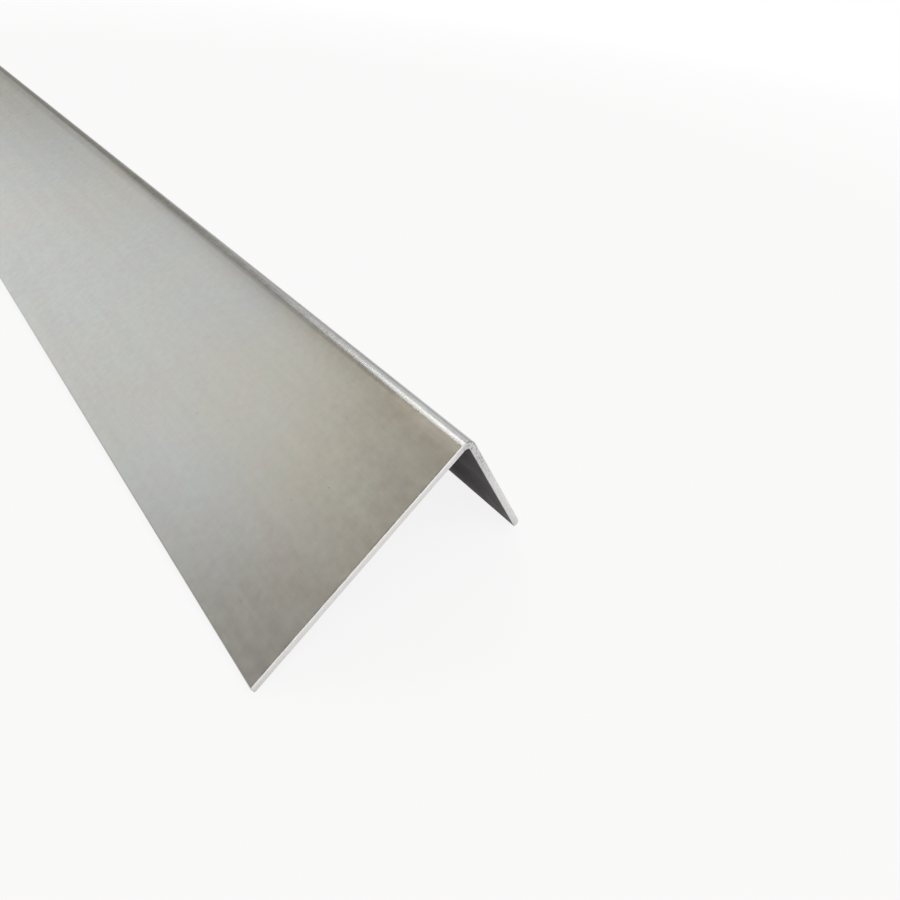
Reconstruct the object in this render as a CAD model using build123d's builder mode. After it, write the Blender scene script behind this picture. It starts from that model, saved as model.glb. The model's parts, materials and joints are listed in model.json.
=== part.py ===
from math import asin, atan2, cos, degrees, hypot, sin
import os

from build123d import *

# A length of unequal angle: one strip of 3 mm aluminium sheet folded square along its length.
# It lies as it would on a floor, on the tips of both legs with the heel up, like a low roof.
# The length runs along X and the wide leg slopes down towards -Y.

# Driving dimensions in millimetres
stock_length = 1000.0
long_leg = 100.0  # over the outside, from the heel to the tip
short_leg = 65.0  # over the outside as well
sheet_thickness = 3.0
bend_radius = 2.0  # on the inside of the fold
long_tip_radius = 0.4  # the strip's sheared edge, nearly sharp
short_tip_radius = 1.1  # the strip's other edge, rolled nearly half round
end_deburr = 0.3  # round the sawn ends

# The heel keeps the sheet's thickness round the fold, so its outside radius follows
heel_radius = bend_radius + sheet_thickness

# Centres of the two roundings that rest on the floor, down the long leg and down the short one
long_foot = (long_leg - long_tip_radius, sheet_thickness - long_tip_radius)
short_foot = (sheet_thickness - short_tip_radius, short_leg - short_tip_radius)

# Both roundings touch the floor, so their centres lie as far above it as their radii, which sets
# the slope of the long leg
feet_run = long_foot[0] - short_foot[0]
feet_rise = short_foot[1] - long_foot[1]
radius_step = short_tip_radius - long_tip_radius
slope = atan2(feet_rise, feet_run) + asin(radius_step / hypot(feet_run, feet_rise))

# How far the tips reach sideways from the line where the two outside faces would meet
long_reach = (long_leg - long_tip_radius) * cos(slope) + long_tip_radius * (1 - sin(slope))
short_reach = (short_leg - short_tip_radius) * sin(slope) + short_tip_radius * (1 - cos(slope))

# That line's place, with the middle of the footprint at the origin
heel_y = (long_reach - short_reach) / 2
heel_z = long_foot[0] * sin(slope) + long_foot[1] * cos(slope) + long_tip_radius

# The section's own plane: its x runs down the long leg and its y down the short one
section_plane = Plane(
    origin=(-stock_length / 2, heel_y, heel_z),
    x_dir=(0, -cos(slope), -sin(slope)),
    z_dir=(1, 0, 0),
)

with BuildPart() as angle_section:
    with BuildSketch(section_plane) as section:
        # The outside line of the folded sheet, thickened to the inside
        with BuildLine() as folded_sheet:
            FilletPolyline(
                (long_leg, 0),
                (0, 0),
                (0, short_leg),
                radius=heel_radius,
            )
            offset(amount=sheet_thickness, side=Side.RIGHT)
        make_face()
        long_tip = section.vertices().group_by(Axis.X)[-1]
        fillet(long_tip, radius=long_tip_radius)
        short_tip = section.vertices().group_by(Axis.Y)[-1]
        fillet(short_tip, radius=short_tip_radius)
    extrude(amount=stock_length)
    sawn_ends = angle_section.faces().filter_by(Axis.X)
    chamfer(sawn_ends.edges(), length=end_deburr)

angle_section.part.label = "angle_section"

os.makedirs("parts", exist_ok=True)
export_step(angle_section.part, "parts/angle_section.step")

box = angle_section.part.bounding_box()
print(f"slope of the long leg {degrees(slope):.2f} degrees")
print(f"box from {box.min} to {box.max}")
print(f"volume {angle_section.part.volume:.0f} mm3")
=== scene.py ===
import json
import math
import bpy
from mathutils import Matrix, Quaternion, Vector

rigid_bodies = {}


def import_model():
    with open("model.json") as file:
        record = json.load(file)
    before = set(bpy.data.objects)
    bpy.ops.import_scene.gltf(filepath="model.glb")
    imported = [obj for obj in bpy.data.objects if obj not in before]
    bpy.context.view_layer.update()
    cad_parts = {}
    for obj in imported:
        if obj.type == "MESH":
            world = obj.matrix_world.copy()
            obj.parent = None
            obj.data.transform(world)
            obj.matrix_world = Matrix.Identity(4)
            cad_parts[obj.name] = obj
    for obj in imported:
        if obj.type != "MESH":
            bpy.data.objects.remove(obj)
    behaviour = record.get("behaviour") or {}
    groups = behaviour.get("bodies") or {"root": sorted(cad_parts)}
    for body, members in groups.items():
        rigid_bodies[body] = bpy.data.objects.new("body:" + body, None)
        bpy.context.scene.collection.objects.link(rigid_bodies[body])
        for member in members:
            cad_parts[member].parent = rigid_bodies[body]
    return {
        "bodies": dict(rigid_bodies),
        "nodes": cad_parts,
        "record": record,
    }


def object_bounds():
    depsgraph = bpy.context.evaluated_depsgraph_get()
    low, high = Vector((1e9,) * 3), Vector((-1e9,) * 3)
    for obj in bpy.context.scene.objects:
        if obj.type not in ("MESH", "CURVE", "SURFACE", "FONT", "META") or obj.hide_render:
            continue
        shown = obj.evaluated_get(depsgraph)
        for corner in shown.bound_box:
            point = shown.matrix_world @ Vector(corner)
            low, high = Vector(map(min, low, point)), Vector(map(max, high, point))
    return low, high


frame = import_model()
ownObjects = set(frame["bodies"].values()) | set(frame["nodes"].values())
for leftover in [o for o in bpy.context.scene.objects if o not in ownObjects]:
    bpy.data.objects.remove(leftover)
cadLow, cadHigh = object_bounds()
scene = bpy.context.scene
scene.view_settings.view_transform = "Standard"
angle = frame["nodes"]["angle_section"]
print("stage: frame loaded")


# The fold is read from the mounts, which sit on the faces of both legs.
mounts = {mount["name"]: mount for mount in frame["record"]["mounts"]}


def faceOf(name):
    return Vector(mounts[name]["pos_m"]), Vector(mounts[name]["axis"]).normalized()


longAt, longOut = faceOf("long_leg_outside")
shortAt, shortOut = faceOf("short_leg_outside")
longInsideAt = faceOf("long_leg_inside")[0]
sheetThickness = longOut.dot(longAt - longInsideAt)
heel = longOut * longOut.dot(longAt) + shortOut * shortOut.dot(shortAt)  # where both outer faces would meet
halfLength = (cadHigh.x - cadLow.x) / 2
sawnEnd = heel + Vector((cadHigh.x, 0, 0))  # the heel at the end that the camera sees
skinPoints = [heel - angle.matrix_world @ vertex.co for vertex in angle.data.vertices]
longLeg = max(point.dot(shortOut) for point in skinPoints)
shortLeg = max(point.dot(longOut) for point in skinPoints)
print(f"stage: section read, legs {longLeg:.4f} and {shortLeg:.4f}, sheet {sheetThickness:.4f}")


class Wire:
    # a shader socket that takes part in sums
    def __init__(self, tree, socket=None):
        self.tree = tree
        self.socket = socket

    def node(self, kind, settings=None, inputs=None, output=None):
        made = self.tree.nodes.new("ShaderNode" + kind)
        for name, value in (settings or {}).items():
            if name == "stops":
                setStops(made.color_ramp, value)
            else:
                setattr(made, name, value)
        for name, value in (inputs or {}).items():
            socket = socketOf(made.inputs, name)
            if isinstance(value, Wire):
                self.tree.links.new(value.socket, socket)
            else:
                socket.default_value = value
        return Wire(self.tree, socketOf(made.outputs, output))

    def also(self, output):  # another output of the same node
        return Wire(self.tree, socketOf(self.socket.node.outputs, output))

    def math(self, operation, a, b=0.0, clamp=False):
        return self.node("Math", {"operation": operation, "use_clamp": clamp}, {0: a, 1: b})

    def __add__(self, other):
        return self.math("ADD", self, other)

    __radd__ = __add__

    def __sub__(self, other):
        return self.math("SUBTRACT", self, other)

    def __rsub__(self, other):
        return self.math("SUBTRACT", other, self)

    def __mul__(self, other):
        return self.math("MULTIPLY", self, other)

    __rmul__ = __mul__

    def __abs__(self):
        return self.math("ABSOLUTE", self)

    def least(self, other):
        return self.math("MINIMUM", self, other)

    def most(self, other):
        return self.math("MAXIMUM", self, other)

    def rise(self, low, high):  # 0 up to low and 1 from high on, either way round
        return self.node("MapRange", {"interpolation_type": "SMOOTHSTEP", "clamp": True},
                         {"Value": self, "From Min": low, "From Max": high})

    def spread(self, toLow, toHigh, low=0.0, high=1.0):
        return self.node("MapRange", {"clamp": True}, {"Value": self, "From Min": low, "From Max": high,
                                                       "To Min": toLow, "To Max": toHigh})

    def stretched(self, factors):  # a vector scaled apart on each axis
        return self.node("VectorMath", {"operation": "MULTIPLY"}, {0: self, 1: factors})

    def dot(self, direction):
        return self.node("VectorMath", {"operation": "DOT_PRODUCT"}, {0: self, 1: direction}, "Value")

    def noise(self, scale=1.0, detail=2.0, roughness=0.5):
        return self.node("TexNoise", {}, {"Vector": self, "Scale": scale, "Detail": detail,
                                          "Roughness": roughness}, 0)

    def blend(self, a, b):  # colour a where this is 0, colour b where it is 1
        return self.node("Mix", {"data_type": "RGBA"}, {"Factor": self, "A": a, "B": b})

    def tinted(self, colour, by):
        return self.node("Mix", {"data_type": "RGBA", "blend_type": "MULTIPLY"},
                         {"Factor": 1.0, "A": colour, "B": by})

    def grey(self, value):
        return self.node("CombineColor", {}, {"Red": value, "Green": value, "Blue": value})


def socketOf(sockets, name):
    if isinstance(name, int):
        return sockets[name]
    shown = [socket for socket in sockets if socket.enabled]
    return shown[0] if name is None else next(socket for socket in shown if socket.name == name)


def setStops(ramp, stops):
    while len(ramp.elements) < len(stops):
        ramp.elements.new(0.5)
    for element, (place, colour) in zip(ramp.elements, stops):
        element.position = place
        element.color = (*colour, 1)


def newMaterial(name):
    material = bpy.data.materials.new(name)
    material.use_nodes = True
    material.node_tree.nodes.clear()
    return material, Wire(material.node_tree)


def rgba(colour):
    return (*colour, 1)


# Camera, at the photograph's viewing angle.
cameraLook = {
    "azimuth": 46.93,
    "elevation": 14.58,
    "roll": 5.92,
    "fromSawnEnd": Vector((0.1578, -0.1734, 0.1711)),  # from the heel at the near end
    "lens": 30.01,
    "shift": (0, -0.35),  # the section stands low and left in the picture
}


def placeCamera(look):
    turn, lift = math.radians(look["azimuth"]), math.radians(look["elevation"])
    back = Vector((math.sin(turn) * math.cos(lift), -math.cos(turn) * math.cos(lift), math.sin(lift)))
    lensData = bpy.data.cameras.new("camera")
    lensData.lens = look["lens"]
    lensData.shift_x, lensData.shift_y = look["shift"]
    lensData.clip_start, lensData.clip_end = 0.01, 100
    camera = bpy.data.objects.new("camera", lensData)
    scene.collection.objects.link(camera)
    camera.location = sawnEnd + look["fromSawnEnd"]
    camera.rotation_mode = "QUATERNION"
    level = (-back).to_track_quat("-Z", "Y")
    camera.rotation_quaternion = level @ Quaternion((0, 0, 1), math.radians(look["roll"]))
    scene.camera = camera


placeCamera(cameraLook)
print("stage: camera placed")


# Studio: a pale floor, an even world that is lighter towards the horizon, and soft panels of light.
studioLook = {
    "floorSize": 60.0,
    "floorColour": (0.93, 0.93, 0.94),
    "whiteShare": (0.86, 1.0),        # how much of the floor shows plain white near the bar and far from it
    "whiteRange": (0.75, 1.7),        # distances from the middle of the bar
    "footprintBlur": 0.01,            # no mirrored white from the floor inside the bar's footprint
    "skyStops": [(0.0, (0.88, 0.87, 0.86)), (0.07, (0.78, 0.77, 0.755)),
                 (0.20, (0.272, 0.25, 0.212)), (1.0, (0.272, 0.25, 0.212))],
}
panels = [  # side: degrees from the bar's far end, + towards the short leg, lift: degrees above the floor
    {"name": "window_panel", "side": -27, "lift": 24, "away": 2.0, "size": (1.26, 2.1),
     "level": 0.65, "tint": (0.94, 1.01, 1.06)},
    {"name": "fold_panel", "side": 21, "lift": 65, "away": 2.0, "size": (0.82, 0.36),
     "level": 4.0, "tint": (1.0, 1.0, 0.99)},
    {"name": "fill_panel", "side": 60, "lift": 44, "away": 2.0, "size": (1.66, 1.8),
     "level": 0.63, "tint": (0.94, 1.0, 1.05)},
    {"name": "key_panel", "side": -172, "lift": 40, "away": 3.0, "size": (3.2, 3.2),
     "level": 1.28, "tint": (0.99, 1.0, 1.02)},
]


def layFloor(look):
    half, level = look["floorSize"] / 2, cadLow.z
    corners = [(-half, -half, level), (half, -half, level), (half, half, level), (-half, half, level)]
    mesh = bpy.data.meshes.new("floor")
    mesh.from_pydata(corners, [], [(0, 1, 2, 3)])
    floor = bpy.data.objects.new("floor", mesh)
    scene.collection.objects.link(floor)
    material, start = newMaterial("pale_floor")
    diffuse = start.node("BsdfPrincipled", {}, {"Base Color": rgba(look["floorColour"]), "Roughness": 0.9,
                                                "Specular IOR Level": 0.0})
    white = start.node("Emission", {}, {"Color": rgba((1, 1, 1)), "Strength": 1.0})
    place = start.node("TexCoord", {}, {}, "Object")
    away = start.node("VectorMath", {"operation": "LENGTH"}, {0: place}, "Value")
    split = start.node("SeparateXYZ", {}, {"Vector": place}, "X")
    blur = look["footprintBlur"]
    outside = abs(split).rise(cadHigh.x - blur, cadHigh.x + blur).most(
        abs(split.also("Y")).rise(cadHigh.y - blur, cadHigh.y + blur))
    ray = start.node("LightPath", {}, {}, "Is Camera Ray")
    mirrored = ray.also("Is Glossy Ray").most(ray.also("Is Transmission Ray")) * outside
    share = ray.most(mirrored) * away.spread(*look["whiteShare"], *look["whiteRange"])
    linkSurface(start, start.node("MixShader", {}, {0: share, 1: diffuse, 2: white}))
    mesh.materials.append(material)


def linkSurface(start, surface):
    output = start.tree.nodes.new("ShaderNodeOutputMaterial")
    start.tree.links.new(surface.socket, output.inputs["Surface"])


def lightWorld(look):
    world = bpy.data.worlds.new("studio")
    scene.world = world
    world.use_nodes = True
    world.node_tree.nodes.clear()
    start = Wire(world.node_tree)
    height = start.node("SeparateXYZ", {}, {"Vector": start.node("TexCoord", {}, {}, "Generated")}, "Z")
    sky = start.node("ValToRGB", {"stops": look["skyStops"]}, {"Fac": height}, "Color")
    seen = start.node("LightPath", {}, {}, "Is Camera Ray").blend(sky, rgba((1, 1, 1)))
    background = start.node("Background", {}, {"Color": seen, "Strength": 1.0})
    output = world.node_tree.nodes.new("ShaderNodeOutputWorld")
    world.node_tree.links.new(background.socket, output.inputs["Surface"])


def hangPanel(look):
    middle = (cadLow + cadHigh) / 2
    side, lift = math.radians(look["side"]), math.radians(look["lift"])
    toward = Vector((-math.cos(side) * math.cos(lift), math.sin(side) * math.cos(lift), math.sin(lift)))
    light = bpy.data.lights.new(look["name"], "AREA")
    light.shape = "RECTANGLE"
    light.size, light.size_y = look["size"]
    light.color = look["tint"]
    light.energy = look["level"] * math.pi * light.size * light.size_y
    panel = bpy.data.objects.new(look["name"], light)
    scene.collection.objects.link(panel)
    panel.location = middle + toward * look["away"]
    panel.rotation_euler = toward.to_track_quat("Z", "Y").to_euler()


layFloor(studioLook)
lightWorld(studioLook)
for panel in panels:
    hangPanel(panel)
print("stage: studio lit")


# The bar: mill-finished aluminium sheet, folded, with sawn ends.
# Ranges are in metres: "fromEnd" from the near sawn end, "across" down the long leg (negative on the short
# one) and "reach" from the fold down either leg. A tint is at full strength at the second value of each.
barLook = {
    "flatCool": (0.625, 0.63, 0.63),
    "flatWarm": (0.645, 0.628, 0.60),
    # Painted light, not the sheet's own colour: the first tint is a painted warm reflection by the fold near
    # the sawn end, the second a painted cooler, lighter reflection further across the long leg, the third
    # painted shade beside the fold.
    "paintedLightTints": [
        {"colour": (1.11, 1.07, 0.98), "fromEnd": [(0.15, 0.03)], "across": [(0.090, 0.035)]},
        {"colour": (1.03, 1.05, 1.085), "fromEnd": [(0.16, 0.10), (0.02, 0.05)], "across": [(0.055, 0.085)]},
        {"colour": (0.89, 0.88, 0.87), "fromEnd": [(0.34, 0.12), (0.010, 0.045)], "reach": [(0.018, 0.006)]},
    ],
    # painted shade: the fold gets a darker, cooler colour than the flat faces, which dims the highlight along
    # the bend
    "foldShadedColour": (0.545, 0.55, 0.555),
    # painted sheen: a lighter tone on the fold's outer side near the sawn end
    "foldEndSheen": (0.655, 0.66, 0.665),
    "foldReach": (0.0056, 0.0042),
    "foldEndSheenPlace": {"fromEnd": [(0.050, 0.015)], "reach": [(0.0030, 0.0018)]},
    "bendStartShade": 0.26,  # painted shade: how much darker the sheet is painted where the bend starts, in place of a dark reflection there
    "bendStartShadePlace": {"fromEnd": [(0.42, 0.28), (0.025, 0.055)],
                      "reach": [(0.0040, 0.0048), (0.0070, 0.0056)]},
    "rosy": (1.012, 0.995, 0.99),
    "greenish": (0.992, 1.004, 0.988),
    # painted shade: the inside faces are the same sheet, given a much darker colour for the shade under the
    # fold; the lighter scuffs vary at random over it
    "insideShadedColour": (0.188, 0.174, 0.184),
    "insideShadedScuff": (0.285, 0.275, 0.28),
    # painted shade: the rounded leg tips are darker so that their edge catches less light
    "tipsShadedColour": (0.56, 0.56, 0.55),
    "sawnBright": (0.80, 0.795, 0.785),
    "sawnDull": (0.765, 0.755, 0.745),
    "sawnHeel": (0.66, 0.66, 0.67),
    "sawnSpeck": (0.24, 0.24, 0.25),
    "cloudScale": 9, "patchScale": 60, "mottleScale": 240, "speckScale": 130, "sawnSpeckScale": 1100,
    "grainStretch": (14, 1400, 1400),      # lengthwise marks are noise drawn out along the bar
    "streakStretch": (1.3, 130, 130),
    "hairlineStretch": (9, 2600, 2600),
    "nickStretch": (1, 330, 330),
    "flatRoughness": 0.33,
    "insideRoughness": 0.48,
    "sawnRoughness": 0.55,
    "bendRunOut": 0.00033,  # how far the sheet has drawn in beside the fold
    "grainHeight": 0.0000015,
    "mottleHeight": 0.000004,
    "sawHeight": 0.000012,
}


def readSheet(start):
    # distances on the folded sheet, and where each kind of surface is
    place = start.node("TexCoord", {}, {}, "Object")
    along = start.node("SeparateXYZ", {}, {"Vector": place}, "X")
    fromHeel = start.node("VectorMath", {"operation": "SUBTRACT"}, {0: tuple(heel), 1: place})
    downLong = fromHeel.dot(tuple(shortOut))   # distance from the short leg's outer face
    downShort = fromHeel.dot(tuple(longOut))   # distance from the long leg's outer face
    depth = downLong.least(downShort)
    half = sheetThickness / 2
    sheet = {
        "fromEnd": halfLength - along,
        "across": downLong - downShort,
        "reach": downLong.most(downShort),     # from the fold down either leg
        "depth": depth,
        "inner": depth.rise(half - 0.0003, half + 0.0003),
        "sawn": abs(along).rise(halfLength - 0.0003, halfLength - 0.0001),
        "besideCut": abs(along).rise(halfLength - 0.0014, halfLength - 0.0004),
        "tips": downLong.rise(longLeg - 0.0008, longLeg - 0.0003).most(
            downShort.rise(shortLeg - 0.0012, shortLeg - 0.0004)),
    }
    sheet["skin"] = start.node("CombineXYZ", {}, {"X": along, "Y": sheet["across"], "Z": depth})
    return sheet


def rolledMarks(start, look, sheet):
    # what rolling, folding and handling left on the sheet, each from 0 to 1
    skin = sheet["skin"]
    cell = start.node("TexVoronoi", {}, {"Vector": skin, "Scale": look["speckScale"]}, "Distance")
    chance = start.node("SeparateColor", {}, {"Color": cell.also("Color")}, "Red")
    return {
        "clouds": skin.noise(look["cloudScale"], 2, 0.5),
        "patches": skin.noise(look["patchScale"], 3, 0.55),
        "mottle": skin.noise(look["mottleScale"], 4, 0.6),
        "grain": skin.stretched(look["grainStretch"]).noise(1, 3, 0.6),
        "streaks": skin.stretched(look["streakStretch"]).noise(1, 3, 0.55),
        "hairlines": skin.stretched(look["hairlineStretch"]).noise(1, 1, 0.4).rise(0.70, 0.76),
        "specks": cell.rise(0.055, 0.03) * chance.rise(0.72, 0.74),
    }


def within(sheet, place):
    # 1 where every range of the place is reached
    share = 1.0
    for name in ("fromEnd", "across", "reach"):
        for low, high in place.get(name, []):
            share = sheet[name].rise(low, high) * share
    return share


def sheetColour(start, look, sheet, marks):
    patches, mottle, reach = marks["patches"], marks["mottle"], sheet["reach"]
    flat = marks["clouds"].rise(0.35, 0.65).blend(rgba(look["flatCool"]), rgba(look["flatWarm"]))
    # painted reflections and painted shade laid over the flat colour
    for tint in look["paintedLightTints"]:
        flat = start.tinted(flat, within(sheet, tint).blend(rgba((1, 1, 1)), rgba(tint["colour"])))
    # the bend takes its painted-shade colour here, with a painted sheen on its outer side near the sawn end
    onFold = reach.rise(*look["foldReach"])
    fold = within(sheet, look["foldEndSheenPlace"]).blend(rgba(look["foldShadedColour"]), rgba(look["foldEndSheen"]))
    flat = onFold.blend(flat, fold)
    flat = start.tinted(flat, patches.rise(0.4, 0.6).blend(rgba(look["rosy"]), rgba(look["greenish"])))
    # painted shade on the inside faces, with lighter scuffs
    inside = patches.rise(0.48, 0.72).blend(rgba(look["insideShadedColour"]), rgba(look["insideShadedScuff"]))
    colour = sheet["inner"].blend(flat, inside)
    # painted shade on the rounded leg tips
    colour = sheet["tips"].blend(colour, rgba(look["tipsShadedColour"]))

    wearAndBendShade = (mottle.spread(0.95, 1.05, 0.3, 0.7) * patches.spread(0.97, 1.03, 0.3, 0.7)
            * marks["streaks"].spread(0.965, 1.035, 0.3, 0.7) * marks["grain"].spread(0.98, 1.02, 0.3, 0.7))
    # the bend-start darkening multiplied in here is painted shade; the specks are real marks
    wearAndBendShade = wearAndBendShade * (1 - marks["specks"] * 0.35) * (1 - within(sheet, look["bendStartShadePlace"]) * look["bendStartShade"])
    wearAndBendShade = wearAndBendShade + marks["hairlines"] * 0.04 + onFold * (mottle - 0.5) * 0.15
    nicks = sheet["skin"].stretched(look["nickStretch"]).noise(1, 2, 0.6).spread(0.0, 0.28, 0.4, 0.65)
    nicked = sheet["besideCut"] * reach.rise(0.004, 0.008) * nicks
    return start.tinted(colour, start.grey(wearAndBendShade * (1 - nicked)))


def sawnColour(start, look, sheet):
    skin = sheet["skin"]
    cut = sheet["depth"].rise(0.0009, 0.0016).blend(rgba(look["sawnBright"]), rgba(look["sawnDull"]))
    onShortLeg = sheet["across"].rise(0.010, 0.0)
    atHeel = sheet["reach"].rise(0.034, 0.014) * onShortLeg
    cut = atHeel.blend(cut, rgba(look["sawnHeel"]))
    pits = skin.noise(look["sawnSpeckScale"], 1, 0.5).rise(0.58, 0.64) * onShortLeg * atHeel.spread(0.2, 0.9)
    cut = pits.blend(cut, rgba(look["sawnSpeck"]))
    lines = skin.stretched((0, 420, 900)).noise(1, 3, 0.6)
    return start.tinted(cut, start.grey(lines.spread(0.95, 1.05, 0.3, 0.7)))


def dressBar(look):
    material, start = newMaterial("rolled_aluminium")
    sheet = readSheet(start)
    marks = rolledMarks(start, look, sheet)
    sawn = sheet["sawn"]
    colour = sawn.blend(sheetColour(start, look, sheet, marks), sawnColour(start, look, sheet))

    roughness = (look["flatRoughness"] + (marks["patches"] - 0.5) * 0.08 + (marks["mottle"] - 0.5) * 0.10
                 + (marks["streaks"] - 0.5) * 0.06 - marks["hairlines"] * 0.05
                 + sheet["inner"] * (look["insideRoughness"] - look["flatRoughness"]))
    roughness = roughness * (1 - sawn) + sawn * look["sawnRoughness"]

    sawLines = sheet["skin"].stretched((0, 2200, 700)).noise(1, 2, 0.5)
    height = (sheet["reach"].rise(0.003, 0.010) * look["bendRunOut"] + marks["grain"] * look["grainHeight"]
              + marks["mottle"] * look["mottleHeight"] + sawLines * sawn * look["sawHeight"])
    bump = start.node("Bump", {}, {"Strength": 1.0, "Distance": 1.0, "Height": height})
    surface = start.node("BsdfPrincipled", {}, {"Base Color": colour, "Metallic": 1.0,
                                                "Roughness": roughness, "Normal": bump})
    linkSurface(start, surface)
    angle.data.materials[0] = material


dressBar(barLook)
print("stage: bar dressed")
